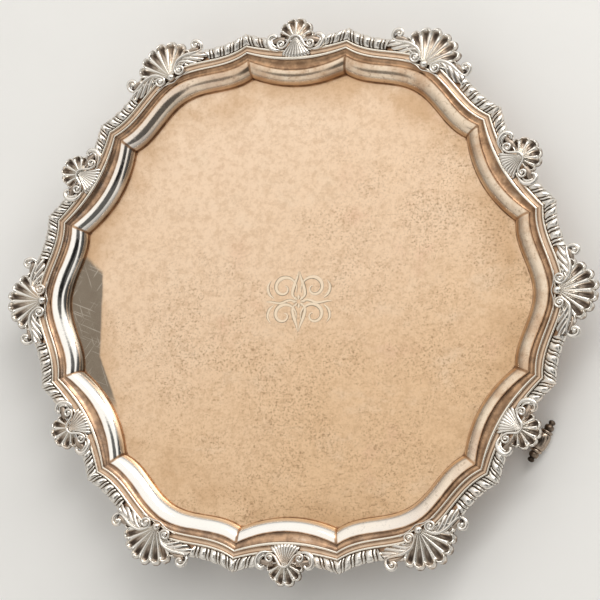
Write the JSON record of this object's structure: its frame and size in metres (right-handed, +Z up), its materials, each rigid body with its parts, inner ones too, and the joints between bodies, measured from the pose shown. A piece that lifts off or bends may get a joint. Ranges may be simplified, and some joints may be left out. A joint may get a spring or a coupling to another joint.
{
  "type": "silver salver",
  "caption": "Shaped-circular silver salver on volute feet, with a mitred moulded bouge, a reeded wire, a gadrooned border and cast shells round the rim.",
  "frame": {"origin": "on the floor, at the centre of the salver below the middle of the well", "axes": "+Z up out of the well, +X through the middle of large shell 1, +Y through the middle of a small shell"},
  "size_m": [0.3788, 0.3552, 0.0374],
  "materials": {
    "tray_silver": "polished silver with a warm, finely speckled tarnish",
    "wire_silver": "polished silver, browned in the groove",
    "gadroon_silver": "polished silver with dark tarnish between the ribs",
    "shell_silver": "cast and chased silver with dark tarnish in the flutes",
    "foot_silver": "cast silver, heavily toned"
  },
  "bodies": {
    "root": {"tray": "tray_silver", "wide_wire_1": "wire_silver", "wide_wire_2": "wire_silver", "wide_wire_3": "wire_silver", "wide_wire_4": "wire_silver", "wide_wire_5": "wire_silver", "wide_wire_6": "wire_silver", "narrow_wire_1": "wire_silver", "narrow_wire_2": "wire_silver", "narrow_wire_3": "wire_silver", "narrow_wire_4": "wire_silver", "narrow_wire_5": "wire_silver", "narrow_wire_6": "wire_silver", "gadroons_1": "gadroon_silver", "gadroons_2": "gadroon_silver", "gadroons_3": "gadroon_silver", "gadroons_4": "gadroon_silver", "gadroons_5": "gadroon_silver", "gadroons_6": "gadroon_silver", "gadroons_7": "gadroon_silver", "gadroons_8": "gadroon_silver", "gadroons_9": "gadroon_silver", "gadroons_10": "gadroon_silver", "gadroons_11": "gadroon_silver", "gadroons_12": "gadroon_silver", "large_shell_1": "shell_silver", "large_shell_2": "shell_silver", "large_shell_3": "shell_silver", "large_shell_4": "shell_silver", "large_shell_5": "shell_silver", "large_shell_6": "shell_silver", "small_shell_1": "shell_silver", "small_shell_2": "shell_silver", "small_shell_3": "shell_silver", "small_shell_4": "shell_silver", "small_shell_5": "shell_silver", "small_shell_6": "shell_silver", "foot_1": "foot_silver", "foot_2": "foot_silver", "foot_3": "foot_silver", "foot_4": "foot_silver"}
  },
  "joints": []
}
